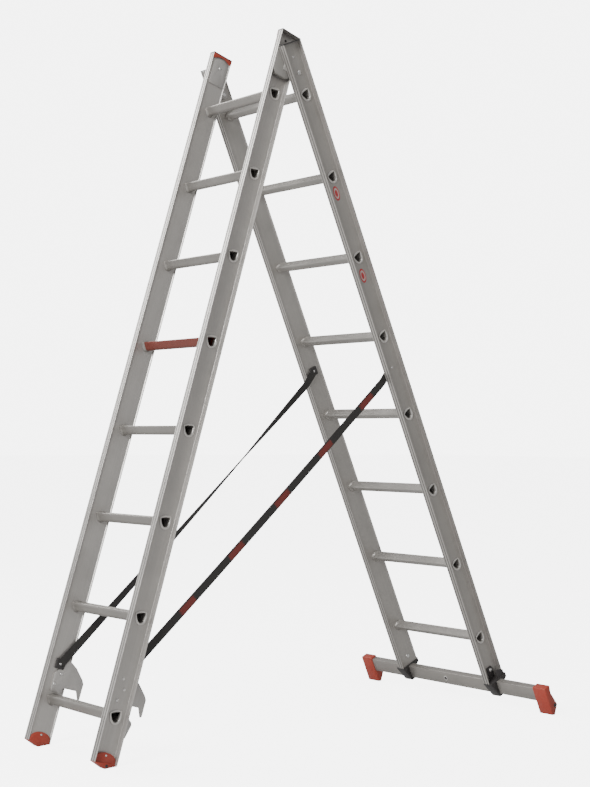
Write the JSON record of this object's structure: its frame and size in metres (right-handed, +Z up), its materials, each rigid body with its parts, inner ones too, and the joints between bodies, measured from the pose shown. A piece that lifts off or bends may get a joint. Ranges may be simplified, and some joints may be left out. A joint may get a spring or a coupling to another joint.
{
  "type": "two-section extension ladder",
  "caption": "Aluminium ladder of two hinged sections that opens into an A-frame, with a sliding front section, spreader straps and a stabiliser bar.",
  "frame": {"origin": "centre of the footprint, on the floor", "axes": "+Z up, +X to the right seen from the front section, -Y towards the front section's feet"},
  "size_m": [0.912, 1.6498, 2.2288],
  "materials": {
    "aluminium": "extruded aluminium, lightly drawn lines along its length",
    "bright_fixings": "bright rivets and bolts",
    "red_paint": "dark red, thin coat",
    "red_plastic": "orange-red moulded plastic",
    "black_plastic": "near-black moulded plastic",
    "webbing": "near-black woven strap"
  },
  "bodies": {
    "base": {"bar_clamp_left": "black_plastic", "bar_clamp_right": "black_plastic", "bar_foot_left": "red_plastic", "bar_foot_right": "red_plastic", "base_rung_1": "aluminium", "base_rung_2": "aluminium", "base_rung_3": "aluminium", "base_rung_4": "aluminium", "base_rung_5": "aluminium", "base_rung_6": "aluminium", "base_rung_7": "aluminium", "base_rung_8": "aluminium", "base_stile_left": "aluminium", "base_stile_right": "aluminium", "base_strap_rivet_left": "bright_fixings", "base_strap_rivet_right": "bright_fixings", "base_strap_tab_left": "black_plastic", "base_strap_tab_right": "black_plastic", "base_top_cap_left": "black_plastic", "base_top_cap_right": "black_plastic", "clamp_bolt_left": "bright_fixings", "clamp_bolt_right": "bright_fixings", "pivot_bolt_left": "bright_fixings", "pivot_bolt_right": "bright_fixings", "stabiliser_bar": "aluminium", "strap_left": "webbing", "strap_right": "webbing"},
    "guides": {"guide_arm_left": "aluminium", "guide_arm_right": "aluminium", "guide_shoe_left": "black_plastic", "guide_shoe_right": "black_plastic"},
    "fly": {"fly_foot_left": "red_plastic", "fly_foot_right": "red_plastic", "fly_rung_1": "aluminium", "fly_rung_2": "aluminium", "fly_rung_3": "aluminium", "fly_rung_4": "aluminium", "fly_rung_5": "red_paint", "fly_rung_6": "aluminium", "fly_rung_7": "aluminium", "fly_rung_8": "aluminium", "fly_stile_left": "aluminium", "fly_stile_right": "aluminium", "fly_strap_rivet_left": "bright_fixings", "fly_strap_rivet_right": "bright_fixings", "fly_strap_tab_left": "black_plastic", "fly_strap_tab_right": "black_plastic", "fly_top_cap_left": "red_plastic", "fly_top_cap_right": "red_plastic", "hook_plate_left": "aluminium", "hook_plate_right": "aluminium", "hook_rivet_lower_left": "bright_fixings", "hook_rivet_lower_right": "bright_fixings", "hook_rivet_upper_left": "bright_fixings", "hook_rivet_upper_right": "bright_fixings", "top_plate_left": "aluminium", "top_plate_right": "aluminium", "top_plate_rivet_left": "bright_fixings", "top_plate_rivet_right": "bright_fixings"}
  },
  "joints": [
    {"name": "a_frame_hinge", "type": "hinge", "parent": "base", "child": "guides", "pos_m": [0, -0.12184, 2.0911], "axis": [1, 0, 0], "range_deg": [0, 40.49], "deforming": ["strap_left", "strap_right"]},
    {"name": "fly_slide", "type": "slide", "parent": "guides", "child": "fly", "axis": [0, 0.2798, 0.96], "range_m": [0, 1.4], "deforming": ["strap_left", "strap_right"]}
  ]
}
